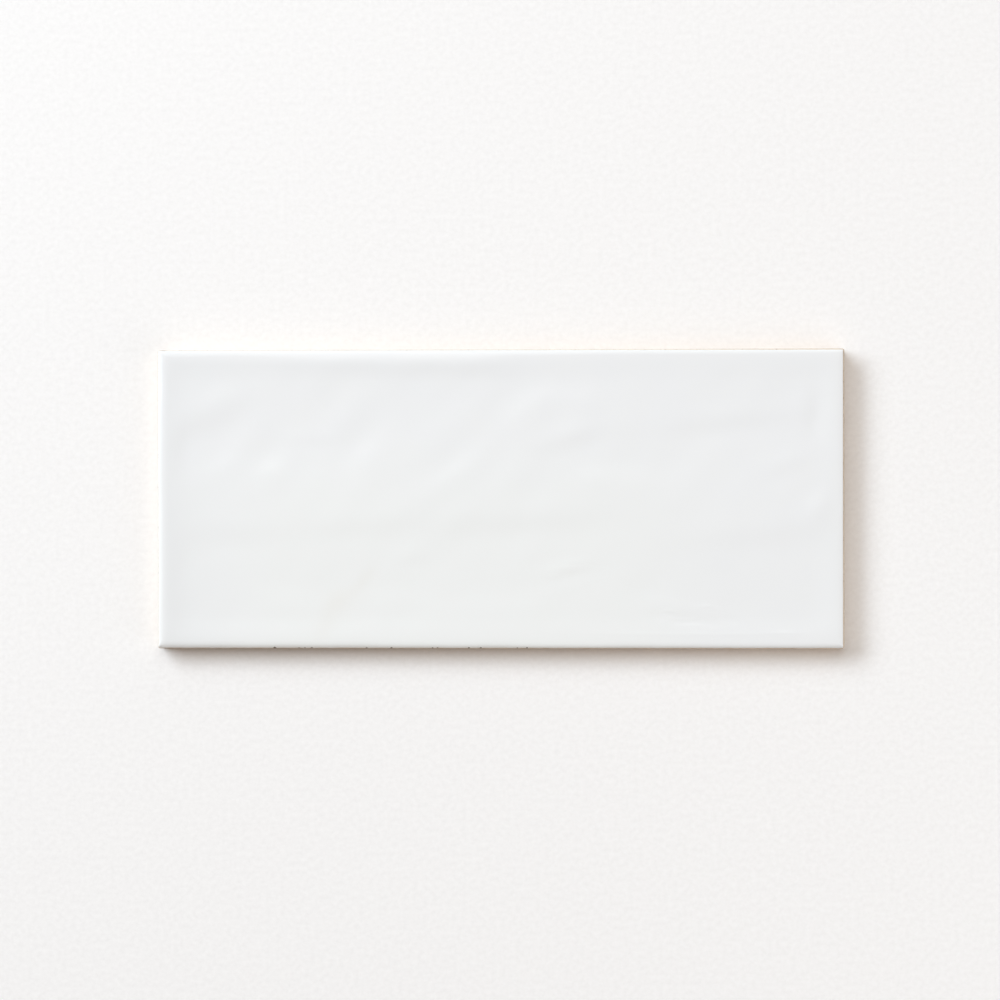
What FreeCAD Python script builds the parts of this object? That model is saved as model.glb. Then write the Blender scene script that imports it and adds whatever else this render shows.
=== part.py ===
# A subway wall tile, pressed from clay, glazed and fired in one piece, in millimetres.
# It lies on its back with the glazed face up. X runs along its length, Y across its
# width and Z up, and the origin is the middle of the plane that the adhesive bed meets.
# The face rolls gently inside a level rim, a rounded cushion edge takes it down to square
# side walls, and the back has shallow keying grooves between flat ribs.

import FreeCAD, Part
import math
import os

from FreeCAD import Vector

# Driving dimensions

TILE_LENGTH = 248.0
TILE_WIDTH = 108.0
TILE_THICKNESS = 8.5  # from the bed plane to the level rim of the face

CUSHION_RADIUS = 2.2  # rounded edge all round the face
CORNER_RADIUS = 0.8  # the four upright corners, in plan
BACK_BEVEL = 0.6  # round the back, left by the press tool

# The face lies a little under its rim and has two rolls: a long one with its crest along the
# tile, and a slanting one across it
FACE_DISH = 0.06
LONG_ROLL_RISE = 0.24  # of the crest
LONG_ROLL_SPREAD = 15.0  # from the crest to where the roll has fallen to about a third
LONG_ROLL_CREST = -1.5  # Y of the crest
SLANT_ROLL_PITCH = 62.0
SLANT_ROLL_RISE = 0.06  # and as far down between two crests
SLANT_ROLL_HEADING = 112.0  # degrees from +X to the way that the slanting crests face
LEVEL_RIM = 0.6  # between the cushion edge and the start of the rolls
ROLL_FADE = 9.0  # over which the rolls grow from the rim to their full height
FACE_POINT_SPACING = 6.0  # between the points that the rolling face passes through

# Keying grooves in the back
GROOVE_WIDTH = 7.0  # at the bed plane
RIB_WIDTH = 4.5  # flat land between two grooves
GROOVE_DEPTH = 0.8
GROOVE_FLANK = 0.5  # how far each sloping flank leans in over the depth
GROOVE_CORNER_RADIUS = 2.0
BED_MARGIN = 9.0  # least flat land between a groove and the side walls


def highest_face(shape):
    """The face of a shape that lies highest."""
    return max(shape.Faces, key=lambda face: face.CenterOfMass.z)


def lowest_face(shape):
    """The face of a shape that lies lowest."""
    return min(shape.Faces, key=lambda face: face.CenterOfMass.z)


def rounded_rectangle(length, width, radius, z):
    """A closed outline about the Z axis, with a quarter circle at each corner."""
    corners = ((1, 1), (-1, 1), (-1, -1), (1, -1))
    arcs = []
    for quarter, (side_x, side_y) in enumerate(corners):
        centre = Vector(side_x * (length / 2 - radius), side_y * (width / 2 - radius), z)
        points = []
        for eighth in range(3):
            angle = math.radians(90 * quarter + 45 * eighth)
            points.append(centre + radius * Vector(math.cos(angle), math.sin(angle), 0))
        arcs.append(Part.Arc(*points))
    edges = []
    for arc, next_arc in zip(arcs, arcs[1:] + arcs[:1]):
        edges.append(arc.toShape())
        edges.append(Part.LineSegment(arc.EndPoint, next_arc.StartPoint).toShape())
    return Part.Wire(edges)


def pressed_block():
    """The block with a level face: cushion edge, bevelled back and eased upright corners."""
    corner = Vector(-TILE_LENGTH / 2, -TILE_WIDTH / 2, 0)
    block = Part.makeBox(TILE_LENGTH, TILE_WIDTH, TILE_THICKNESS, corner)
    block = block.makeFillet(CUSHION_RADIUS, highest_face(block).Edges)
    block = block.makeChamfer(BACK_BEVEL, lowest_face(block).Edges)
    outline = rounded_rectangle(TILE_LENGTH, TILE_WIDTH, CORNER_RADIUS, 0)
    return block.common(Part.Face(outline).extrude(Vector(0, 0, TILE_THICKNESS)))


def groove():
    """One keying groove at the middle of the back, with flanks that the press draws from.

    It is lofted from below the bed plane, where it is wider, to the groove's floor.
    """
    outlines = []
    for side in (-1, 1):
        lean = side * GROOVE_FLANK
        length = TILE_LENGTH - 2 * BED_MARGIN - 2 * lean
        width = GROOVE_WIDTH - 2 * lean
        outline = rounded_rectangle(length, width, GROOVE_CORNER_RADIUS - lean, side * GROOVE_DEPTH)
        outlines.append(outline)
    return Part.makeLoft(outlines, True, True)


def keying_grooves():
    """The grooves side by side, as many as fit between the bed margins."""
    pitch = GROOVE_WIDTH + RIB_WIDTH
    room = TILE_WIDTH - 2 * BED_MARGIN
    count = max(1, int((room + RIB_WIDTH) // pitch))
    one = groove()
    places = [pitch * (i - (count - 1) / 2) for i in range(count)]
    return Part.makeCompound([one.translated(Vector(0, y, 0)) for y in places])


def roll_height(x, y):
    """Height of the face over its rim at a point of the plan, from its dish and its two rolls."""
    heading = math.radians(SLANT_ROLL_HEADING)
    across_slant = x * math.cos(heading) + y * math.sin(heading)
    long_roll = math.exp(-(((y - LONG_ROLL_CREST) / LONG_ROLL_SPREAD) ** 2))
    slant_roll = math.sin(2 * math.pi * across_slant / SLANT_ROLL_PITCH)
    return LONG_ROLL_RISE * long_roll + SLANT_ROLL_RISE * slant_roll - FACE_DISH


def fade_in(inset):
    """How much of the rolls there is at an inset from the level rim, from 0 to 1."""
    share = min(1.0, inset / ROLL_FADE)
    return share * share * (3 - 2 * share)


def spread_evenly(span):
    """Even positions about zero over a span, no further apart than the point spacing."""
    gaps = math.ceil(span / FACE_POINT_SPACING)
    return [span * (i / gaps - 0.5) for i in range(gaps + 1)]


def rolling_face():
    """The rolling part of the glazed face, one smooth surface that meets the rim level."""
    rim = CUSHION_RADIUS + LEVEL_RIM
    length = TILE_LENGTH - 2 * rim
    width = TILE_WIDTH - 2 * rim
    points = []
    for x in spread_evenly(length):
        row = []
        for y in spread_evenly(width):
            fade = fade_in(length / 2 - abs(x)) * fade_in(width / 2 - abs(y))
            row.append(Vector(x, y, TILE_THICKNESS + fade * roll_height(x, y)))
        points.append(row)
    surface = Part.BSplineSurface()
    surface.interpolate(points)
    return surface.toShape()


def with_rolling_face(block):
    """The block with its level face cut back to the rim, round the rolling face."""
    level = highest_face(block)
    rolling = rolling_face()
    rim = Part.makeFace([level.OuterWire, rolling.OuterWire], "Part::FaceMakerBullseye")
    others = [face for face in block.Faces if not face.isSame(level)]
    skin = Part.Shell(others + rim.Faces + [rolling])
    skin.sewShape()
    return Part.makeSolid(Part.Shell(skin.Faces))


tile = pressed_block().cut(keying_grooves())
tile = with_rolling_face(tile)

os.makedirs("parts", exist_ok=True)
tile.exportStep("parts/tile.step")
print(f"tile: valid {tile.isValid()}, {len(tile.Faces)} faces, {tile.Volume / 1000:.1f} cm3")
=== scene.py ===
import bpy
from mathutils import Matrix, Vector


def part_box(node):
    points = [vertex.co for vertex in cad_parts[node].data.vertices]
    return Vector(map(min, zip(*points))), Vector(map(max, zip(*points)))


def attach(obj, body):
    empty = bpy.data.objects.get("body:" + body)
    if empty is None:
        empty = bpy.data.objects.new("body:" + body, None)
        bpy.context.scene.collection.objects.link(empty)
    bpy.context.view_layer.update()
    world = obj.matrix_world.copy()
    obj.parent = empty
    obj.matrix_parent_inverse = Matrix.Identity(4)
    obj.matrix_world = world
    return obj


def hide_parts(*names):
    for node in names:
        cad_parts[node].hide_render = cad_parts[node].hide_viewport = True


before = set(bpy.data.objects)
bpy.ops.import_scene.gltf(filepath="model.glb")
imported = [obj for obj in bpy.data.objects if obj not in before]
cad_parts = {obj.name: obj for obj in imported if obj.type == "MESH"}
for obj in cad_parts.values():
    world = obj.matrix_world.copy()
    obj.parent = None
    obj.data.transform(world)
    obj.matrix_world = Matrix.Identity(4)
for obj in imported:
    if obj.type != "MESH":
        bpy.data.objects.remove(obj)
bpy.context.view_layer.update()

import math

import bpy
import numpy as np
from mathutils import Vector
from mathutils.geometry import delaunay_2d_cdt

# The tile: outline
# The tile is pressed from clay in a steel die, so its plan is a true oblong with barely eased
# corners. Every upright line of its mesh starts from one of the points round that oblong.

MM = 0.001
low_corner, high_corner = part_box("tile")
HALF_LENGTH = (high_corner.x - low_corner.x) / 2
HALF_WIDTH = (high_corner.y - low_corner.y) / 2
CORNER_RADIUS = 0.8 * MM
CORNER_STEPS = 5  # mesh lines over half of a corner's quarter circle
LINE_SPACING = 1.0 * MM

# Pinholes in the glaze along the front edge: place along X in mm, and size
PINHOLES = [
    (-81.5, 1.3), (-72.7, 0.5), (-70.6, 0.7), (-68.1, 0.9), (-48.2, 0.8), (-39.2, 1.0),
    (-24.3, 0.7), (-22.5, 0.6), (-11.2, 0.9), (-6.9, 0.9), (6.3, 0.6), (9.8, 0.9),
]
PINHOLE_ROOM = 0.54 * MM  # to each side of a pinhole, with closer mesh lines
PINHOLE_LINE_SPACING = 0.12 * MM

# Bands that hold the fine lines drawn in the glaze: middle along Y and half width, in mm
DRAWN_BANDS = [(-43.0, 7.5), (-26.0, 4.2)]
BAND_LINE_SPACING = 0.30 * MM


def mesh_lines(half_span, finer):
    """Places along a side from -1 to 1, even but for closer ones about some middles."""
    straight = half_span - CORNER_RADIUS
    places = np.linspace(-straight, straight, round(2 * straight / LINE_SPACING) + 1)
    for middle, reach, spacing in finer:
        closer = np.arange(middle - reach, middle + reach + spacing / 2, spacing)
        places = np.concatenate([places[np.abs(places - middle) > reach + spacing], closer])
    return np.sort(places) / straight


pinhole_lines = [(place * MM, PINHOLE_ROOM, PINHOLE_LINE_SPACING) for place, _ in PINHOLES]
band_lines = [(middle * MM, reach * MM, BAND_LINE_SPACING) for middle, reach in DRAWN_BANDS]
LENGTH_LINES = mesh_lines(HALF_LENGTH, pinhole_lines)
WIDTH_LINES = mesh_lines(HALF_WIDTH, band_lines)


def side_points(lines, half_along, half_across, radius):
    """One side of a loop, drawn as the front one: half a corner, the straight, half a corner."""
    sweep = np.radians(np.linspace(0, 45, CORNER_STEPS + 1))
    towards_corner, towards_front = np.radians([225, 270])
    start = towards_corner + sweep[:-1]
    stop = towards_front + sweep[1:]
    reach = half_along - radius
    depth = half_across - radius
    first = np.stack([-reach + radius * np.cos(start), -depth + radius * np.sin(start)], 1)
    middle = np.stack([lines * reach, np.full(len(lines), -half_across)], 1)
    last = np.stack([reach + radius * np.cos(stop), -depth + radius * np.sin(stop)], 1)
    outward = np.concatenate(
        [
            np.stack([np.cos(start), np.sin(start)], 1),
            np.tile([0.0, -1.0], (len(lines), 1)),
            np.stack([np.cos(stop), np.sin(stop)], 1),
        ]
    )
    return np.concatenate([first, middle, last]), outward


def turned(points, quarters):
    """Plan points turned about the tile's middle by quarter turns."""
    for _ in range(quarters):
        points = np.stack([-points[:, 1], points[:, 0]], 1)
    return points


def four_sides(inset, radius):
    """Front, right, rear and left side of the loop at an inset from the outline."""
    across = HALF_WIDTH - inset
    along = HALF_LENGTH - inset
    sides = []
    for quarters in range(4):
        long_side = quarters % 2 == 0
        lines = LENGTH_LINES if long_side else WIDTH_LINES
        lines = lines if quarters < 2 else -lines[::-1]
        halves = (along, across) if long_side else (across, along)
        points, outward = side_points(lines, *halves, radius)
        sides.append((turned(points, quarters), turned(outward, quarters)))
    return sides


def loop(inset, radius):
    """Plan points of a whole loop, and the outward direction at each."""
    sides = four_sides(inset, radius)
    points = np.concatenate([side[0][:-1] for side in sides])
    outward = np.concatenate([side[1][:-1] for side in sides])
    return points, outward


outline, outward = loop(0.0, CORNER_RADIUS)
LOOP_COUNT = len(outline)
steps = np.linalg.norm(np.diff(outline, axis=0, append=outline[:1]), axis=1)
round_about = np.concatenate([[0.0], np.cumsum(steps)[:-1]])
GIRTH = steps.sum()


def girth_wave(turns, phases):
    """A wave along the outline that closes on itself, between about -1 and 1."""
    angle = 2 * np.pi * round_about / GIRTH
    parts = [np.sin(turn * angle + phase) for turn, phase in zip(turns, phases)]
    return sum(parts) / len(parts)


def by_side(front, right, rear, left):
    """A value round the outline that changes over from side to side in the corners."""
    share_x = outward[:, 0] ** 2
    share_y = outward[:, 1] ** 2
    across = np.where(outward[:, 0] > 0, right, left)
    along = np.where(outward[:, 1] > 0, rear, front)
    return share_x * across + share_y * along


# The tile: face
# The face is pressed with gentle rolls and then flooded with glaze, which levels out in the
# kiln but keeps the rolls, slanting ripples, a few wrinkles and some drawn-out lines.

RIM_LEVEL = 8.5 * MM
FACE_RIM = 2.8 * MM  # from the outline in to where the rolls start
FACE_DISH = 0.06 * MM  # how far the face lies under its rim on the whole
GLAZE_SINK = 0.13 * MM  # how far the glaze draws down into the face as it cools
LONG_ROLL_RISE = 0.24 * MM
LONG_ROLL_CREST = -1.5 * MM
LONG_ROLL_SPREAD = 15.0 * MM
SLANT_ROLL_PITCH = 62.0 * MM
SLANT_ROLL_RISE = 0.06 * MM
SLANT_ROLL_HEADING = 112.0
ROLL_FADE = 9.0 * MM
FINE_RELIEF_GAIN = 3  # wrinkles and drawn lines reach their full height this much sooner

RIPPLE_COUNT = 22
RIPPLE_RISE = 0.0088 * MM
RIPPLE_PITCHES = (13 * MM, 30 * MM)
RIPPLE_HEADINGS = (122.0, 164.0)
RIPPLE_SEED = 11
RIPPLE_LEAST = 0.4  # share of the rise that is left far from the patch below
RIPPLE_PATCH = ((-45, 18), (70, 30), 0)  # middle and half sizes in mm, and slant

# Swells of the glaze: middle, half length and half width in mm, slant in degrees, and how
# steeply the patch leans towards the front edge, or with a minus towards the rear one
SWELLS = [
    ((-106, 28), (16, 7), 22, 0.052),
    ((-68, 21), (10, 3), 0, 0.026),
    ((27, 21), (15, 4.5), 14, 0.046),
    ((82, 27), (26, 5), 5, 0.046),
    ((112, 31), (10, 5), 80, 0.045),
    ((104, 11), (11, 4.5), 20, 0.042),
    ((-96, -13), (13, 6), 0, 0.040),
    ((-52, -10.5), (19, 5.5), 4, 0.036),
    ((7, -9), (30, 6), 3, 0.044),
    ((89, -14.5), (25, 6), 4, 0.040),
    ((-32, -22), (5, 3.5), 0, 0.032),
    ((78, -24), (8, 6), 0, 0.022),
    ((-101, 13), (10, 6.5), 35, -0.034),
    ((-82, 12), (8, 7), 0, -0.024),
    ((-49, 18), (12, 7), 42, -0.032),
    ((-19, 9), (15, 6), 38, -0.042),
    ((5, 34), (9, 8), 58, -0.034),
    ((26, 38), (11, 5), 0, -0.020),
    ((34, 10), (8, 6), 0, -0.032),
    ((51, 9), (10, 7), 0, -0.034),
    ((115, 0), (9, 6), 25, -0.060),
    ((-73, -35), (13, 6), -8, -0.032),
    ((-40, -34), (10, 5), 0, -0.030),
    ((-4, -37), (22, 6), 2, -0.028),
    ((54, -36), (12, 6), 0, -0.026),
    ((58.5, -43.2), (3.0, 3.2), 20, -0.045),
    ((84.3, -44.8), (3.4, 1.7), -10, -0.055),
    ((93.5, -49.0), (3.5, 2.0), 0, 0.050),
]

# Lens-shaped wrinkles right of the middle: middle, half length and half width in mm, slant in
# degrees, and pitch and rise in mm
FOLDS = [
    ((24.5, -26.4), (8.5, 4.2), 13, 11.0, 0.115),
    ((67.5, -41.8), (11.0, 5.0), -9, 10.5, 0.080),
    ((87.0, -44.6), (5.0, 2.6), -14, 7.5, 0.030),
]

# Lines drawn in the glaze about the wrinkles, in mm: middle, half length, how far the ends bend
# towards the front edge, and rise, which is less than nothing for a furrow
DRAWN_LINES = [
    ((29.0, -23.6), 8.0, 0.4, -0.022),
    ((19.3, -27.7), 3.0, 0.6, 0.038),
    ((60.5, -40.2), 4.0, 1.6, 0.045),
    ((74.5, -38.6), 4.5, 1.2, 0.045),
    ((66.0, -43.4), 6.5, -0.9, 0.035),
    ((70.0, -45.6), 7.0, 0.8, 0.040),
    ((77.5, -47.2), 4.5, -0.7, 0.055),
    ((70.0, -48.9), 36.0, -0.3, 0.070),
    ((102.0, -48.4), 4.5, 0.0, 0.090),
    ((102.6, -49.7), 4.0, 0.0, 0.170),
]
DRAWN_LINE_WIDTH = 0.6

# Low rolls inside the rim, in mm: the crest's distance from its edge, half width and rise. The
# rear one has its rise at places along X, and its crest drifts and wavers on its way.
LEFT_ROLL_CREST, LEFT_ROLL_HALF_WIDTH, LEFT_ROLL_RISE = 3.5, 5.0, 0.07
FRONT_ROLL_CREST, FRONT_ROLL_HALF_WIDTH, FRONT_ROLL_RISE = 6.0, 4.5, 0.09
REAR_ROLL_CREST, REAR_ROLL_HALF_WIDTH = 6.3, 3.0
REAR_ROLL_RISES = [(-110, 0.0), (-86, 0.03), (-62, 0.105), (-6, 0.105), (10, 0.0)]
REAR_ROLL_DRIFT = 0.022  # mm for each mm along X
REAR_ROLL_WAVERS = [(0.4, 3.7, 0.0), (0.3, 6.5, 1.0)]  # swing, mm for each radian, and phase

# The face droops at the right end: over how many mm, and how steep it gets there
RIGHT_DROOP_REACH, RIGHT_DROOP_SLOPE = 3.5, 0.12

# Tones of the glaze. The grey is painted shade: in mm from an edge, where it starts, over how much
# it grows, and how soon it dies away. Each change-over has its place along X or Y and half its
# reach.
LEFT_PAINTED_SHADE = (1.5, 2.5, 14.0)
LEFT_PAINTED_SHADE_GAIN = 0.5  # in front of the change-over
LEFT_PAINTED_SHADE_CHANGE = (-2.0, 10.0)
REAR_PAINTED_SHADE = (3.0, 3.0, 8.0)
REAR_PAINTED_SHADE_LEAST = 0.2  # right of the change-over
REAR_PAINTED_SHADE_CHANGE = (6.0, 6.0)
RIGHT_PAINTED_SHADE = 0.15  # at the tile's middle; none at the left end and twice as much at the right
GREEN_FRONT_CHANGE = (10.0, 14.0)
GREEN_RIGHT_CHANGE = (62.0, 16.0)
GREEN_LEFT_CHANGE = (-90.0, 10.0)
GREEN_LEFT_LOSS = 0.6
GREEN_LEAST = 0.15

# Patches of a faint warm stain: middle and half sizes in mm, slant in degrees, and strength
STAINS = [
    ((-59.0, -37.2), (5.5, 3.8), 40, 0.6),
    ((-63.3, -46.0), (6.0, 3.4), 60, 0.4),
    ((-49.5, -29.5), (7.5, 2.4), 52, 0.4),
]


def plane_wave(x, y, pitch, heading, phase=0.0):
    """A straight-crested wave that faces along a heading."""
    facing = x * math.cos(heading) + y * math.sin(heading)
    return np.sin(2 * np.pi * facing / pitch + phase)


def patch_axes(x, y, middle, slant):
    """Distances in mm along and across a slanting patch, from its middle."""
    turn = math.radians(slant)
    dx = x / MM - middle[0]
    dy = y / MM - middle[1]
    along = dx * math.cos(turn) + dy * math.sin(turn)
    across = dy * math.cos(turn) - dx * math.sin(turn)
    return along, across


def soft_patch(x, y, middle, half_size, slant):
    """1 at a place on the face, falling off to 0 over an oval about it."""
    along, across = patch_axes(x, y, middle, slant)
    return np.exp(-((along / half_size[0]) ** 2) - (across / half_size[1]) ** 2)


def rolls(x, y):
    """The two rolls that the press gives the face."""
    long_roll = np.exp(-(((y - LONG_ROLL_CREST) / LONG_ROLL_SPREAD) ** 2))
    slant_roll = plane_wave(x, y, SLANT_ROLL_PITCH, math.radians(SLANT_ROLL_HEADING))
    return LONG_ROLL_RISE * long_roll + SLANT_ROLL_RISE * slant_roll


def ripples(x, y):
    """Slanting ripples of many pitches, strongest behind and left of the middle."""
    draw = np.random.default_rng(RIPPLE_SEED)
    height = np.zeros_like(x)
    for _ in range(RIPPLE_COUNT):
        pitch = draw.uniform(*RIPPLE_PITCHES)
        heading = math.radians(draw.uniform(*RIPPLE_HEADINGS))
        height += plane_wave(x, y, pitch, heading, draw.uniform(0, 2 * math.pi))
    strength = RIPPLE_LEAST + (1 - RIPPLE_LEAST) * soft_patch(x, y, *RIPPLE_PATCH)
    return RIPPLE_RISE * strength * height


def swells(x, y):
    """Longer swells here and there on the face."""
    height = np.zeros_like(x)
    for middle, half_size, slant, lean in SWELLS:
        _, across = patch_axes(x, y, middle, slant)
        height += lean * across * MM * soft_patch(x, y, middle, half_size, slant)
    return height


def folds(x, y):
    """Wrinkles of the glaze, each a low ridge with a furrow in front of it."""
    height = np.zeros_like(x)
    for middle, half_size, slant, pitch, rise in FOLDS:
        _, across = patch_axes(x, y, middle, slant)
        wave = np.sin(2 * np.pi * across / pitch)
        height += rise * MM * wave * soft_patch(x, y, middle, half_size, slant)
    return height


def drawn_lines(x, y):
    """Fine ridges and a furrow of glaze, in front of the middle and towards the right end."""
    height = np.zeros_like(x)
    for middle, half_length, bend, rise in DRAWN_LINES:
        along, across = patch_axes(x, y, middle, 0)
        along = along / half_length
        ridge = np.exp(-(along**2) - ((across + bend * along**2) / DRAWN_LINE_WIDTH) ** 2)
        height += rise * MM * ridge
    return height


def ramp_down(place, middle, reach):
    """1 well before a place along or across the tile, 0 well after it; all in mm."""
    return 0.5 - 0.5 * np.tanh((place - middle) / reach)


def stations(place, pairs):
    """A value that changes evenly from station to station; places of the stations are in mm."""
    return np.interp(place / MM, *zip(*pairs))


def low_roll(distance, crest, half_width):
    """The section of a low roll: 1 at its crest, falling off to both sides."""
    return np.exp(-(((distance - crest) / half_width) ** 2))


def rim_roll(x, y):
    """Low rolls of glaze inside the rim, and a droop of the face at the right end."""
    place = x / MM
    from_left = place + HALF_LENGTH / MM
    from_right = HALF_LENGTH / MM - place
    from_rear = (HALF_WIDTH - y) / MM
    from_front = (HALF_WIDTH + y) / MM
    rear_crest = REAR_ROLL_CREST + REAR_ROLL_DRIFT * place
    for swing, reach, phase in REAR_ROLL_WAVERS:
        rear_crest = rear_crest + swing * np.sin(place / reach + phase)
    left = LEFT_ROLL_RISE * low_roll(from_left, LEFT_ROLL_CREST, LEFT_ROLL_HALF_WIDTH)
    rear = stations(x, REAR_ROLL_RISES) * low_roll(from_rear, rear_crest, REAR_ROLL_HALF_WIDTH)
    front = FRONT_ROLL_RISE * low_roll(from_front, FRONT_ROLL_CREST, FRONT_ROLL_HALF_WIDTH)
    into_droop = np.clip(RIGHT_DROOP_REACH - from_right, 0, None)
    droop = RIGHT_DROOP_SLOPE / 2 * into_droop**2 / RIGHT_DROOP_REACH
    return MM * (left + rear + front - droop)


def fade_in(inset):
    """0 at the rim, 1 where the rolls have their full height."""
    share = np.clip(inset / ROLL_FADE, 0, 1)
    return share * share * (3 - 2 * share)


def face_height(x, y):
    """Height of the glazed face, before the cushion edge takes it down."""
    fade = fade_in(HALF_LENGTH - FACE_RIM - np.abs(x)) * fade_in(HALF_WIDTH - FACE_RIM - np.abs(y))
    fine_fade = np.clip(FINE_RELIEF_GAIN * fade, 0, 1)
    large = rolls(x, y) + ripples(x, y) + swells(x, y) - FACE_DISH - GLAZE_SINK
    fine = folds(x, y) + drawn_lines(x, y)
    return RIM_LEVEL + fade * large + fine_fade * fine + rim_roll(x, y)


def edge_tone(distance, start, growth, reach):
    """A tone that grows in from an edge and then dies away."""
    return np.clip((distance - start) / growth, 0, 1) * np.exp(-distance / reach)


def painted_shade_share(x, y):
    """Where shade is painted into the glaze as grey: at the left end, along the rear's left half,
    and to the right.
    """
    left = edge_tone((x + HALF_LENGTH) / MM, *LEFT_PAINTED_SHADE)
    left = left * (1 + LEFT_PAINTED_SHADE_GAIN * ramp_down(y / MM, *LEFT_PAINTED_SHADE_CHANGE))
    rear = edge_tone((HALF_WIDTH - y) / MM, *REAR_PAINTED_SHADE)
    to_the_left = ramp_down(x / MM, *REAR_PAINTED_SHADE_CHANGE)
    rear = rear * (REAR_PAINTED_SHADE_LEAST + (1 - REAR_PAINTED_SHADE_LEAST) * to_the_left)
    return np.clip(left + rear + RIGHT_PAINTED_SHADE * (1 + x / HALF_LENGTH), 0, 1)


def green_share(x, y):
    """Where the glaze is a trace greener: the front half of the face, least at the right end."""
    along = ramp_down(x / MM, *GREEN_RIGHT_CHANGE)
    along = along * (1 - GREEN_LEFT_LOSS * ramp_down(x / MM, *GREEN_LEFT_CHANGE))
    return ramp_down(y / MM, *GREEN_FRONT_CHANGE) * (GREEN_LEAST + (1 - GREEN_LEAST) * along)


def stain_share(x, y):
    """A faint warm smear that slants in from the front edge, left of the middle."""
    share = np.zeros_like(x)
    for middle, half_size, slant, strength in STAINS:
        share += strength * soft_patch(x, y, middle, half_size, slant)
    return np.clip(share, 0, 1)


# The tile: cushion edge, glaze line and walls
# The glaze runs over the rounded edge of the face and stops there in a thin bead. Under it the
# fired clay is bare: a narrow rim of the edge, the upright walls and the bevel at the back.

CUSHION_REACH = 4.2 * MM  # in from the outline
CUSHION_DROP = 2.2 * MM  # from the rim of the face to the top of the wall
CUSHION_STEPS = 14
CUSHION_CROWDING = math.radians(51)  # the larger, the closer the mesh rows at the glaze line
INNER_CORNER_RADIUS = 3.0 * MM

# How full the edge is, and so how sharply rounded, at places along X or Y in mm
REAR_FULLNESS = [(-120, 5.6), (-100, 7.4), (-66, 5.7), (-10, 5.3), (12, 6.6), (40, 7.8), (124, 8.4)]
FRONT_FULLNESS = [(-120, 3.6), (-75, 3.8), (-50, 4.2), (0, 4.3), (20, 4.9)]
LEFT_FULLNESS = [(-54, 4.7), (-20, 4.3), (20, 4.0), (40, 3.5), (54, 3.2)]
RIGHT_FULLNESS = 10.0
FULLNESS_SWING = 0.4
FULLNESS_TURNS = (7, 13, 29)
FULLNESS_PHASES = (0.4, 2.9, 5.0)

# Between the glaze line and the outline, in mm; along the rear it widens from left to right
FRONT_GAP = 0.26
RIGHT_GAP = 0.62
REAR_GAPS = [(-124, 0.30), (124, 0.56)]
LEFT_GAP = 0.38
GLAZE_LINE_SWING = 0.28  # how much of the gap the line wanders by, on the front
RIGHT_SWING, REAR_SWING, LEFT_SWING = 0.35, 0.6, 0.6  # as shares of the front's
GLAZE_LINE_TURNS = (23, 41, 67, 97, 151, 211)
GLAZE_LINE_PHASES = (0.3, 2.1, 4.4, 1.2, 3.3, 5.9)
GLAZE_BEAD = 0.12 * MM  # thickness of the glaze where it stops
BEAD_STEPS = [(0.35, 0.30), (0.45, 0.75), (0.05, 1.15)]  # out and down, in thicknesses
PINHOLE_REACH = 0.33 * MM
PINHOLE_LEAST = 0.8  # no pinhole is narrower than one of this size
PINHOLE_DEPTH = 0.32 * MM

# Pale film on the bare clay, as shares; along the rear it thins out from left to right
RIGHT_RIM_DUST, LEFT_RIM_DUST = 0.50, 0.95
RIGHT_WALL_DUST, LEFT_WALL_DUST = 0.60, 0.50
REAR_RIM_DUST_LOSS = 0.36
REAR_WALL_DUST = [(-124, 0.50), (124, 0.15)]

# Dark on the clay, as shares: painted shade along the front, darkest to the left, which through the
# dark wall also deepens the shadow on the paper in front of it; and a spot scorched in the kiln
# near the rear left corner
FRONT_RIM_PAINTED_SHADE = [(-124, 0.48), (124, 0.0)]
FRONT_WALL_PAINTED_SHADE = [(-91.65, 1.0), (124, 0.0)]
SCORCH_PLACE, SCORCH_REACH, SCORCH_STRENGTH = -121.7, 0.7, 0.66

CLAY_STEPS = 5
WALL_STEPS = 5
WALL_SWAY = 0.035 * MM
WALL_TURNS = (9, 31, 57)
WALL_PHASES = (2.0, 4.0)
BACK_BEVEL = 0.6 * MM
BEVEL_CROWN = 0.04 * MM  # how far the bevel bulges out
BEVEL_CROWN_LEVEL = 0.46 * BACK_BEVEL
BED_CORNER_RADIUS = 0.24 * MM

fullness = by_side(
    front=stations(outline[:, 0], FRONT_FULLNESS),
    right=RIGHT_FULLNESS,
    rear=stations(outline[:, 0], REAR_FULLNESS),
    left=stations(outline[:, 1], LEFT_FULLNESS),
)
fullness += FULLNESS_SWING * girth_wave(FULLNESS_TURNS, FULLNESS_PHASES)

glaze_gap = by_side(
    front=FRONT_GAP, right=RIGHT_GAP, rear=stations(outline[:, 0], REAR_GAPS), left=LEFT_GAP
)
wander = GLAZE_LINE_SWING * girth_wave(GLAZE_LINE_TURNS, GLAZE_LINE_PHASES)
wander = wander * by_side(front=1.0, right=RIGHT_SWING, rear=REAR_SWING, left=LEFT_SWING)
pinholes = np.zeros(LOOP_COUNT)
for place, size in PINHOLES:
    offset = (outline[:, 0] - place * MM) / (PINHOLE_REACH * max(size, PINHOLE_LEAST))
    pinholes += size * np.exp(-(offset**4))
on_front = outward[:, 1] == -1
pinholes = np.where(on_front, pinholes, 0.0)
glaze_line = MM * glaze_gap * (1 + wander) + PINHOLE_DEPTH * pinholes

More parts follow.
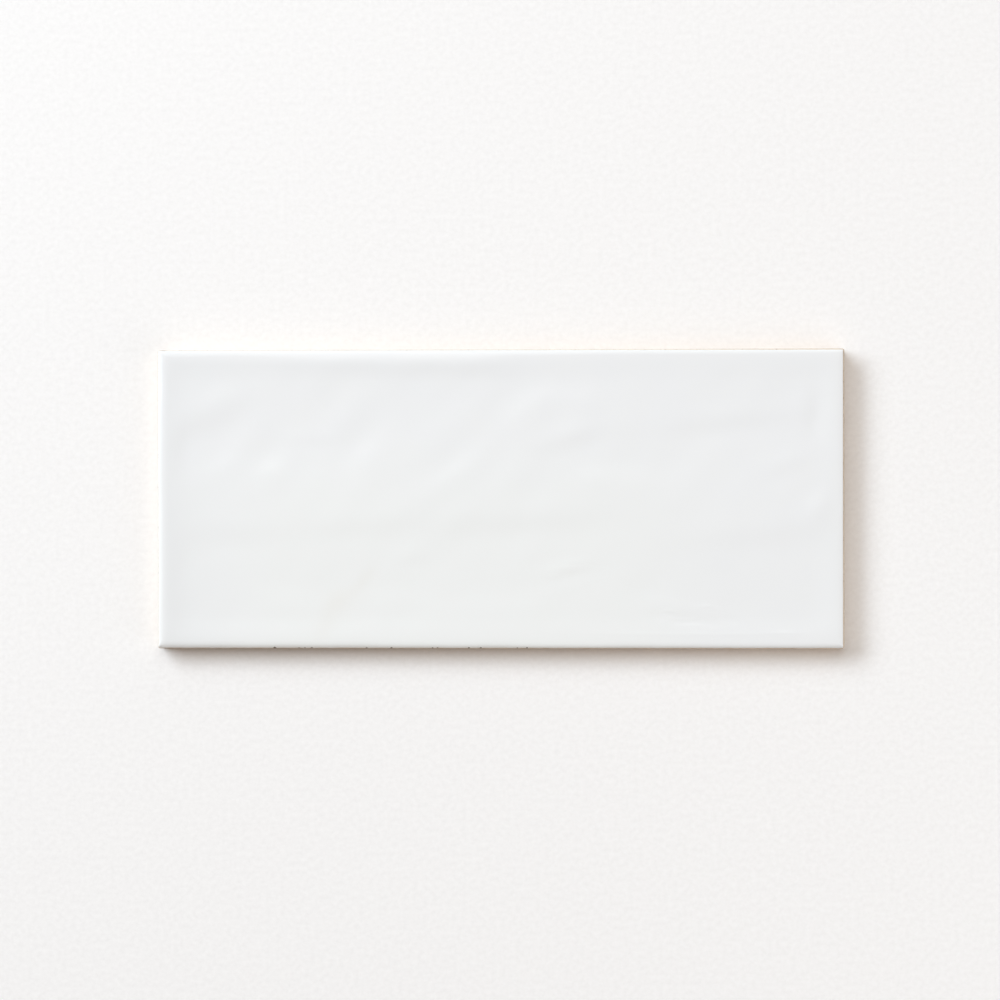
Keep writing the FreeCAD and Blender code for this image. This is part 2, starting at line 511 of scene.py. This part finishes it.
rightward = (outline[:, 0] + HALF_LENGTH) / (2 * HALF_LENGTH)
rear_rim_dust = 1.0 - REAR_RIM_DUST_LOSS * rightward**4
rear_wall_dust = stations(outline[:, 0], REAR_WALL_DUST)
rim_dusty = by_side(front=0.0, right=RIGHT_RIM_DUST, rear=rear_rim_dust, left=LEFT_RIM_DUST)
wall_dusty = by_side(front=0.0, right=RIGHT_WALL_DUST, rear=rear_wall_dust, left=LEFT_WALL_DUST)
scorch = SCORCH_STRENGTH * low_roll(outline[:, 0] / MM, SCORCH_PLACE, SCORCH_REACH)
# painted shade along the front, darkest at the left end, on the bare rim and on the wall
front_rim_painted_shade = stations(outline[:, 0], FRONT_RIM_PAINTED_SHADE)
front_wall_painted_shade = stations(outline[:, 0], FRONT_WALL_PAINTED_SHADE)
# the painted shade along the front, with the kiln scorch near the rear left corner
rim_shade_and_scorch = by_side(front=front_rim_painted_shade, right=0.0, rear=scorch, left=0.0)
wall_shade_and_scorch = by_side(front=front_wall_painted_shade, right=0.0, rear=scorch, left=0.0)


def cushion_drop(inset):
    """How far the cushion edge has fallen at an inset from the outline."""
    reach = np.clip(1 - inset / CUSHION_REACH, 0, 1)
    return CUSHION_REACH * (1 - (1 - reach**fullness) ** (1 / fullness))


def lift(plan, z):
    """Plan points with their heights, as points in space."""
    return np.column_stack([plan, np.broadcast_to(z, len(plan))])


rows = []

# from the face out to the glaze line
for step in range(CUSHION_STEPS + 1):
    turn = CUSHION_CROWDING * step / CUSHION_STEPS
    bend = math.sqrt(math.sin(turn) / math.sin(CUSHION_CROWDING))
    inset = CUSHION_REACH + (glaze_line - CUSHION_REACH) * bend
    radius = INNER_CORNER_RADIUS + (CORNER_RADIUS - INNER_CORNER_RADIUS) * bend
    ring, _ = loop(CUSHION_REACH * (1 - bend), radius)
    ring = ring - outward * (glaze_line * bend)[:, None]
    rows.append(lift(ring, face_height(ring[:, 0], ring[:, 1]) - cushion_drop(inset)))

# the bead: out over the edge of the glaze and back in under it
edge = rows[-1]
for out_step, down_step in BEAD_STEPS:
    ring = edge.copy()
    ring[:, :2] += outward * out_step * GLAZE_BEAD
    ring[:, 2] -= down_step * GLAZE_BEAD
    rows.append(ring)
first_clay_row = len(rows)

# the bare rim of clay, from under the bead to the wall
start = rows[-1]
wall_top = RIM_LEVEL - CUSHION_DROP
for step in range(1, CLAY_STEPS + 1):
    turn = 0.5 * math.pi * step / CLAY_STEPS
    ring = start.copy()
    ring[:, :2] = outline + (start[:, :2] - outline) * (1 - math.sin(turn))
    ring[:, 2] = wall_top + (start[:, 2] - wall_top) * math.cos(turn)
    rows.append(ring)
wall_top_row = len(rows) - 1

# the upright wall, not quite true, and the bevel
for step in range(1, WALL_STEPS + 1):
    share = step / WALL_STEPS
    height = wall_top + (BACK_BEVEL - wall_top) * share
    sway = WALL_SWAY * math.sin(math.pi * share)
    sway = sway * (1 + girth_wave(WALL_TURNS, (share, *WALL_PHASES)))
    rows.append(lift(outline - outward * sway[:, None], height))
bed_edge, _ = loop(BACK_BEVEL, BED_CORNER_RADIUS)
rows.append(lift((outline + bed_edge) / 2 + outward * BEVEL_CROWN, BEVEL_CROWN_LEVEL))
rows.append(lift(bed_edge, 0.0))

# The tile: keyed back
# The back is bare clay with shallow grooves that the press leaves for the adhesive to grip in.
# The ribs between them are level with the border all round.

GROOVE_WIDTH = 7.0 * MM
RIB_WIDTH = 4.5 * MM
GROOVE_COUNT = 8
GROOVE_DEPTH = 0.8 * MM
GROOVE_FLANK = 0.5 * MM
GROOVE_CORNER_RADIUS = 2.0 * MM
GROOVE_CORNER_STEPS = 6
BED_MARGIN = 9.0 * MM


def groove_outline(middle_y, lean):
    """Plan points of one groove, leaning in from its width at the bed plane."""
    half_length = HALF_LENGTH - BED_MARGIN - lean
    half_width = GROOVE_WIDTH / 2 - lean
    radius = GROOVE_CORNER_RADIUS - lean
    points = []
    for quarter, (side_x, side_y) in enumerate(((1, 1), (-1, 1), (-1, -1), (1, -1))):
        for turn in np.radians(90 * quarter + np.linspace(0, 90, GROOVE_CORNER_STEPS + 1)):
            x = side_x * (half_length - radius) + radius * math.cos(turn)
            y = side_y * (half_width - radius) + radius * math.sin(turn)
            points.append((x, y + middle_y))
    return np.array(points)


groove_pitch = GROOVE_WIDTH + RIB_WIDTH
groove_places = [groove_pitch * (i - (GROOVE_COUNT - 1) / 2) for i in range(GROOVE_COUNT)]

# The tile: mesh
# The tile is fired as one piece, so its mesh is one closed skin. A grid over the face comes
# first, then the rows round the edge down to the bed plane, then the back with its grooves.

GLAZED, BARE = 0, 1  # the mesh's two finishes
MERGE_DISTANCE = 1e-9
INSIDE_ONLY = 1  # keeps the triangles within the outline of the back
PIT_GAIN = 1.3  # dark share of a pinhole of size 1, before it is capped
PIT_CLAY_ROWS = 3  # of the clay under the bead that a pinhole darkens

inner_sides = four_sides(CUSHION_REACH, INNER_CORNER_RADIUS)
front, right, rear, left = (side[0] for side in inner_sides)
rear = rear[::-1]
left = left[::-1]
columns, lines = len(front), len(right)
along = ((front[:, 0] - front[0, 0]) / (front[-1, 0] - front[0, 0]))[:, None, None]
across = ((right[:, 1] - right[0, 1]) / (right[-1, 1] - right[0, 1]))[None, :, None]
plan = (
    (1 - across) * front[:, None] + across * rear[:, None]
    + (1 - along) * left[None] + along * right[None]
    - (1 - along) * (1 - across) * front[0] - along * (1 - across) * front[-1]
    - (1 - along) * across * rear[0] - along * across * rear[-1]
)
face_z = face_height(plan[..., 0], plan[..., 1])

points = [np.column_stack([plan.reshape(-1, 2), face_z.reshape(-1)])]
grid = np.arange(columns * lines).reshape(columns, lines)
quads = [
    np.stack([grid[:-1, :-1], grid[1:, :-1], grid[1:, 1:], grid[:-1, 1:]], -1).reshape(-1, 4)
]
finishes = [np.full(len(quads[0]), GLAZED)]

point_count = columns * lines
upper = np.concatenate([grid[:-1, 0], grid[-1, :-1], grid[:0:-1, -1], grid[0, :0:-1]])
for number, row in enumerate(rows[1:], start=1):
    lower = point_count + np.arange(LOOP_COUNT)
    points.append(row)
    point_count += LOOP_COUNT
    quads.append(np.stack([upper, lower, np.roll(lower, -1), np.roll(upper, -1)], 1))
    finishes.append(np.full(LOOP_COUNT, GLAZED if number < first_clay_row else BARE))
    upper = lower
edge_points = slice(columns * lines, point_count)

bed_points = [Vector(point) for point in rows[-1][:, :2]]
bed_edges = [(i, (i + 1) % LOOP_COUNT) for i in range(LOOP_COUNT)]
bed_index = list(upper)
back_faces = []
for middle in groove_places:
    mouth = groove_outline(middle, 0.0)
    bottom = groove_outline(middle, GROOVE_FLANK)
    size = len(mouth)
    points.append(lift(mouth, 0.0))
    points.append(lift(bottom, GROOVE_DEPTH))
    mouth_index = point_count + np.arange(size)
    bottom_index = mouth_index + size
    point_count += 2 * size
    first = len(bed_points)
    bed_points += [Vector(point) for point in mouth]
    bed_edges += [(first + i, first + (i + 1) % size) for i in range(size)]
    bed_index += list(mouth_index)
    next_mouth = np.roll(mouth_index, -1)
    next_bottom = np.roll(bottom_index, -1)
    quads.append(np.stack([bottom_index, next_bottom, next_mouth, mouth_index], 1))
    finishes.append(np.full(size, BARE))
    back_faces.append(tuple(int(i) for i in bottom_index[::-1]))


def over_groove(corner_ids):
    """Whether a triangle of the back closes a groove's mouth, and so is left out."""
    middle = sum((bed_points[i] for i in corner_ids), Vector((0, 0))) / 3
    off_rib = min(abs(middle.y - place) for place in groove_places) < GROOVE_WIDTH / 2
    off_border = abs(middle.x) < HALF_LENGTH - BED_MARGIN
    return off_rib and off_border and min(corner_ids) >= LOOP_COUNT


_, _, land, origin, _, _ = delaunay_2d_cdt(bed_points, bed_edges, [], INSIDE_ONLY, MERGE_DISTANCE)
for triangle in land:
    corner_ids = [origin[i][0] for i in triangle]
    if not over_groove(corner_ids):
        back_faces.append(tuple(int(bed_index[i]) for i in corner_ids)[::-1])

vertices = np.concatenate(points)
faces = [tuple(int(i) for i in quad) for quad in np.concatenate(quads)] + back_faces
finishes = np.concatenate(finishes + [np.full(len(back_faces), BARE)])

mesh = bpy.data.meshes.new("tile_glazed")
mesh.from_pydata(vertices.tolist(), [], faces)
mesh.validate()


def edge_share(by_row):
    """A share for each point of the mesh, given for the rows round the edge and 0 elsewhere."""
    share = np.zeros(len(vertices))
    share[edge_points] = by_row.ravel()
    return share


row_numbers = np.arange(1, len(rows))[:, None]
first_bead_row = first_clay_row - len(BEAD_STEPS)
in_pit = (row_numbers >= first_bead_row) & (row_numbers < first_clay_row + PIT_CLAY_ROWS)
on_wall = row_numbers >= wall_top_row
off_bed = row_numbers < len(rows) - 1
down_rim = np.clip((row_numbers - first_clay_row) / (wall_top_row - first_clay_row), 0, 1)
# dark on the clay from rim to wall: painted shade along the front, and the kiln scorch near the
# rear left corner
shade_and_scorch = rim_shade_and_scorch + (wall_shade_and_scorch - rim_shade_and_scorch) * down_rim
shares = {
    "green": green_share(vertices[:, 0], vertices[:, 1]),
    "painted_shade": painted_shade_share(vertices[:, 0], vertices[:, 1]),
    "stain": stain_share(vertices[:, 0], vertices[:, 1]),
    "pit": edge_share(in_pit * np.clip(PIT_GAIN * pinholes, 0, 1)),
    "dusty": edge_share(off_bed * np.where(on_wall, wall_dusty, rim_dusty)),
    "shade_and_scorch": edge_share(off_bed * shade_and_scorch),
}
for name, share in shares.items():
    mesh.attributes.new(name, "FLOAT", "POINT").data.foreach_set("value", share)
tile = bpy.data.objects.new("tile_glazed", mesh)
bpy.context.scene.collection.objects.link(tile)

# The tile: finishes
# White glaze, glossy and a little uneven in tone, is fused to the face and its edge. The clay
# under it shows bare on the sides and the back: buff, with a sandy grain and dark specks.

GLAZE_COOL = (0.884, 0.892, 0.904, 1)
GLAZE_PALE = (0.892, 0.898, 0.906, 1)
GLAZE_GREEN = (0.896, 0.907, 0.898, 1)
# the grey of the shade painted into the glaze
GLAZE_PAINTED_SHADE = (0.81, 0.82, 0.83, 1)
GLAZE_STAINED = (0.83, 0.815, 0.77, 1)
PIT_BROWN = (0.06, 0.045, 0.03, 1)
GREEN_STRENGTH = 0.9
PAINTED_SHADE_STRENGTH = 0.6
STAIN_STRENGTH = 0.5
PIT_STRENGTH = 0.92
GLAZE_ROUGHNESS = 0.13
CLOUD_SCALE = 45.0  # of the glaze's uneven tone; this and the other scales are in turns a metre
CLOUD_SPAN = (0.35, 0.65)  # of the noise, from one tone to the other
PEEL_SCALE = 420.0
PEEL_STRENGTH = 0.10
PEEL_DEPTH = 0.02 * MM
CLAY_BUFF = (0.58, 0.39, 0.22, 1)
CLAY_PALE = (0.70, 0.51, 0.33, 1)
CLAY_DUSTY = (0.80, 0.75, 0.67, 1)
# the dark of the painted shade along the front and of the scorch near the rear left corner
CLAY_SHADE_AND_SCORCH = (0.23, 0.125, 0.045, 1)
CLAY_SPECK = (0.24, 0.14, 0.07, 1)
CLAY_ROUGHNESS = 0.85
PATCH_SCALE = 140.0
PATCH_SPAN = (0.3, 0.7)
SPECK_SCALE = 1300.0
SPECK_SPAN = (0.57, 0.72)
SPECK_STRENGTH = 0.5
GRAIN_SCALE = 2600.0
GRAIN_STRENGTH = 0.5
GRAIN_DEPTH = 0.06 * MM
SHARP_ANGLE = 40.0


def new_material(name):
    """A new material, its node tree and its shader."""
    material = bpy.data.materials.new(name)
    material.use_nodes = True
    tree = material.node_tree
    return material, tree, tree.nodes["Principled BSDF"]


def add_noise(tree, where, scale, detail):
    """Noise over the object's own coordinates."""
    node = tree.nodes.new("ShaderNodeTexNoise")
    node.inputs["Scale"].default_value = scale
    node.inputs["Detail"].default_value = detail
    tree.links.new(where.outputs["Object"], node.inputs["Vector"])
    return node.outputs["Fac"]


def add_ramp(tree, source, span, low_colour, high_colour):
    """A colour that changes over between two values of a source."""
    node = tree.nodes.new("ShaderNodeValToRGB")
    low, high = node.color_ramp.elements
    low.position, high.position = span
    low.color = low_colour
    high.color = high_colour
    tree.links.new(source, node.inputs["Fac"])
    return node.outputs["Color"]


def add_bump(tree, shader, source, strength, depth):
    """Fine relief on a finish, as high as a source says."""
    node = tree.nodes.new("ShaderNodeBump")
    node.inputs["Strength"].default_value = strength
    node.inputs["Distance"].default_value = depth
    tree.links.new(source, node.inputs["Height"])
    tree.links.new(node.outputs["Normal"], shader.inputs["Normal"])


def mesh_share(tree, name):
    """A share that is kept in the mesh, point by point."""
    node = tree.nodes.new("ShaderNodeAttribute")
    node.attribute_name = name
    return node.outputs["Fac"]


def peaks_of(tree, source, span):
    """A share that is 0 up to a low value of a source and 1 from a high one."""
    node = tree.nodes.new("ShaderNodeMapRange")
    node.inputs["From Min"].default_value, node.inputs["From Max"].default_value = span
    tree.links.new(source, node.inputs["Value"])
    return node.outputs["Result"]


def add_wash(tree, under, colour, share, strength=1.0):
    """A second colour laid over the first one by a share."""
    amount = tree.nodes.new("ShaderNodeMath")
    amount.operation = "MULTIPLY"
    amount.inputs[1].default_value = strength
    tree.links.new(share, amount.inputs[0])
    mix = tree.nodes.new("ShaderNodeMix")
    mix.data_type = "RGBA"
    mix.inputs["B"].default_value = colour
    tree.links.new(amount.outputs["Value"], mix.inputs["Factor"])
    tree.links.new(under, mix.inputs["A"])
    return mix.outputs["Result"]


def glaze_finish():
    """Gloss white, cooler and greener by turns, with a faint orange peel."""
    material, tree, shader = new_material("white_glaze")
    where = tree.nodes.new("ShaderNodeTexCoord")
    clouds = add_noise(tree, where, CLOUD_SCALE, detail=3.0)
    tone = add_ramp(tree, clouds, CLOUD_SPAN, GLAZE_COOL, GLAZE_PALE)
    tone = add_wash(tree, tone, GLAZE_GREEN, mesh_share(tree, "green"), GREEN_STRENGTH)
    # painted shade in grey: at the left end, inside the rear edge's left half, and growing towards
    # the right end
    tone = add_wash(tree, tone, GLAZE_PAINTED_SHADE, mesh_share(tree, "painted_shade"), PAINTED_SHADE_STRENGTH)
    tone = add_wash(tree, tone, GLAZE_STAINED, mesh_share(tree, "stain"), STAIN_STRENGTH)
    tone = add_wash(tree, tone, PIT_BROWN, mesh_share(tree, "pit"), PIT_STRENGTH)
    tree.links.new(tone, shader.inputs["Base Color"])
    peel = add_noise(tree, where, PEEL_SCALE, detail=1.0)
    add_bump(tree, shader, peel, PEEL_STRENGTH, PEEL_DEPTH)
    shader.inputs["Roughness"].default_value = GLAZE_ROUGHNESS
    return material


def clay_finish():
    """Buff fired clay: pale and darker patches, a fine sandy grain, no gloss."""
    material, tree, shader = new_material("buff_clay")
    where = tree.nodes.new("ShaderNodeTexCoord")
    patches = add_noise(tree, where, PATCH_SCALE, detail=4.0)
    tone = add_ramp(tree, patches, PATCH_SPAN, CLAY_BUFF, CLAY_PALE)
    tone = add_wash(tree, tone, CLAY_DUSTY, mesh_share(tree, "dusty"))
    # painted shade along the front, darkest at the left end, and the kiln scorch near the rear left
    # corner
    tone = add_wash(tree, tone, CLAY_SHADE_AND_SCORCH, mesh_share(tree, "shade_and_scorch"))
    sand = add_noise(tree, where, SPECK_SCALE, detail=2.0)
    tone = add_wash(tree, tone, CLAY_SPECK, peaks_of(tree, sand, SPECK_SPAN), SPECK_STRENGTH)
    tone = add_wash(tree, tone, PIT_BROWN, mesh_share(tree, "pit"), PIT_STRENGTH)
    tree.links.new(tone, shader.inputs["Base Color"])
    grain = add_noise(tree, where, GRAIN_SCALE, detail=3.0)
    add_bump(tree, shader, grain, GRAIN_STRENGTH, GRAIN_DEPTH)
    shader.inputs["Roughness"].default_value = CLAY_ROUGHNESS
    return material


mesh.materials.append(glaze_finish())
mesh.materials.append(clay_finish())
mesh.polygons.foreach_set("material_index", finishes)
mesh.polygons.foreach_set("use_smooth", np.ones(len(faces), bool))
mesh.set_sharp_from_angle(angle=math.radians(SHARP_ANGLE))
mesh.update()

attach(tile, "root")
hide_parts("tile")

# Floor
# A plain sheet of pale paper that the tile lies on, large enough for every view. Its tooth gives
# it a fine speckle.

FLOOR_HALF = 3.0
PAPER = (0.982, 0.970, 0.966, 1)
PAPER_SHADED = (0.932, 0.919, 0.915, 1)
PAPER_ROUGHNESS = 0.9
PAPER_SHINE = 0.2
TOOTH_SCALE = 560.0
TOOTH_SPAN = (0.3, 0.7)
TOOTH_STRENGTH = 0.5
TOOTH_DEPTH = 0.13 * MM

floor_mesh = bpy.data.meshes.new("paper")
floor_signs = [(-1, -1), (1, -1), (1, 1), (-1, 1)]
floor_corners = [(x * FLOOR_HALF, y * FLOOR_HALF, 0) for x, y in floor_signs]
floor_mesh.from_pydata(floor_corners, [], [(0, 1, 2, 3)])
floor = bpy.data.objects.new("paper", floor_mesh)
bpy.context.scene.collection.objects.link(floor)
paper, paper_tree, paper_shader = new_material("paper")
on_paper = paper_tree.nodes.new("ShaderNodeTexCoord")
tooth = add_noise(paper_tree, on_paper, TOOTH_SCALE, detail=3.0)
paper_tone = add_ramp(paper_tree, tooth, TOOTH_SPAN, PAPER_SHADED, PAPER)
paper_tree.links.new(paper_tone, paper_shader.inputs["Base Color"])
add_bump(paper_tree, paper_shader, tooth, TOOTH_STRENGTH, TOOTH_DEPTH)
paper_shader.inputs["Roughness"].default_value = PAPER_ROUGHNESS
paper_shader.inputs["Specular IOR Level"].default_value = PAPER_SHINE
floor_mesh.materials.append(paper)

# Light
# A soft key from the left and behind, a soft light from high behind, a small card close by on
# the right and a pale surround. Together they light a level surface at a level of about one.

SURROUND_LIGHT = 0.259
SURROUND_COLOUR = (1.17, 1.0, 0.84, 1)
BACKDROP_WHITE = (1, 1, 1, 1)


def soft_light(name, bearing, height, distance, width, depth, share, colour):
    """An oblong lamp aimed at the tile; share is its part of the light on a level surface."""
    turn = math.radians(bearing)
    rise = math.radians(height)
    flat = math.cos(rise)
    aim = Vector((math.cos(turn) * flat, math.sin(turn) * flat, math.sin(rise)))
    lamp = bpy.data.lights.new(name, "AREA")
    lamp.shape = "RECTANGLE"
    lamp.size = width
    lamp.size_y = depth
    lamp.color = colour
    # a level surface shows its colour as written at pi watts a square metre
    lamp.energy = share * math.pi**2 * distance**2 / aim.z
    holder = bpy.data.objects.new(name, lamp)
    holder.location = aim * distance
    holder.rotation_euler = aim.to_track_quat("Z", "Y").to_euler()
    bpy.context.scene.collection.objects.link(holder)


soft_light(
    "key", bearing=146, height=35.5, distance=3.35, width=2.75, depth=1.32,
    share=0.490, colour=(0.90, 1.0, 1.084),
)
soft_light(
    "top", bearing=95, height=62, distance=2.4, width=1.9, depth=1.9,
    share=0.25, colour=(1.0, 1.0, 1.0),
)
soft_light(
    "card", bearing=-26, height=29, distance=0.85, width=0.55, depth=0.45,
    share=0.075, colour=(0.97, 1.0, 1.03),
)

# the surround lights the tile softly, and looks white to the camera and in the gloss
world = bpy.data.worlds.new("surround")
bpy.context.scene.world = world
world.use_nodes = True
surround = world.node_tree
background = surround.nodes["Background"]
background.inputs["Color"].default_value = SURROUND_COLOUR
background.inputs["Strength"].default_value = SURROUND_LIGHT
white = surround.nodes.new("ShaderNodeBackground")
white.inputs["Color"].default_value = BACKDROP_WHITE
white.inputs["Strength"].default_value = 1.0
rays = surround.nodes.new("ShaderNodeLightPath")
seen = surround.nodes.new("ShaderNodeMath")
seen.operation = "MAXIMUM"
choose = surround.nodes.new("ShaderNodeMixShader")
surround.links.new(rays.outputs["Is Camera Ray"], seen.inputs[0])
surround.links.new(rays.outputs["Is Glossy Ray"], seen.inputs[1])
surround.links.new(seen.outputs["Value"], choose.inputs["Fac"])
surround.links.new(background.outputs["Background"], choose.inputs[1])
surround.links.new(white.outputs["Background"], choose.inputs[2])
surround.links.new(choose.outputs["Shader"], surround.nodes["World Output"].inputs["Surface"])

# Camera
# It looks almost straight down from about a metre, through a long lens. It stands a little to
# the right of the tile's middle and is turned back towards it.

SENSOR_WIDTH = 36.0
LENS = 99.1
CAMERA_PLACE = (0.0320, 0.0089, 1.0)
CAMERA_TURN = (-0.537, 1.839, -0.086)  # degrees about X, Y and Z

camera_data = bpy.data.cameras.new("camera")
camera_data.sensor_width = SENSOR_WIDTH
camera_data.lens = LENS
camera = bpy.data.objects.new("camera", camera_data)
camera.location = CAMERA_PLACE
camera.rotation_euler = [math.radians(angle) for angle in CAMERA_TURN]
bpy.context.scene.collection.objects.link(camera)
bpy.context.scene.camera = camera
bpy.context.scene.view_settings.view_transform = "Standard"
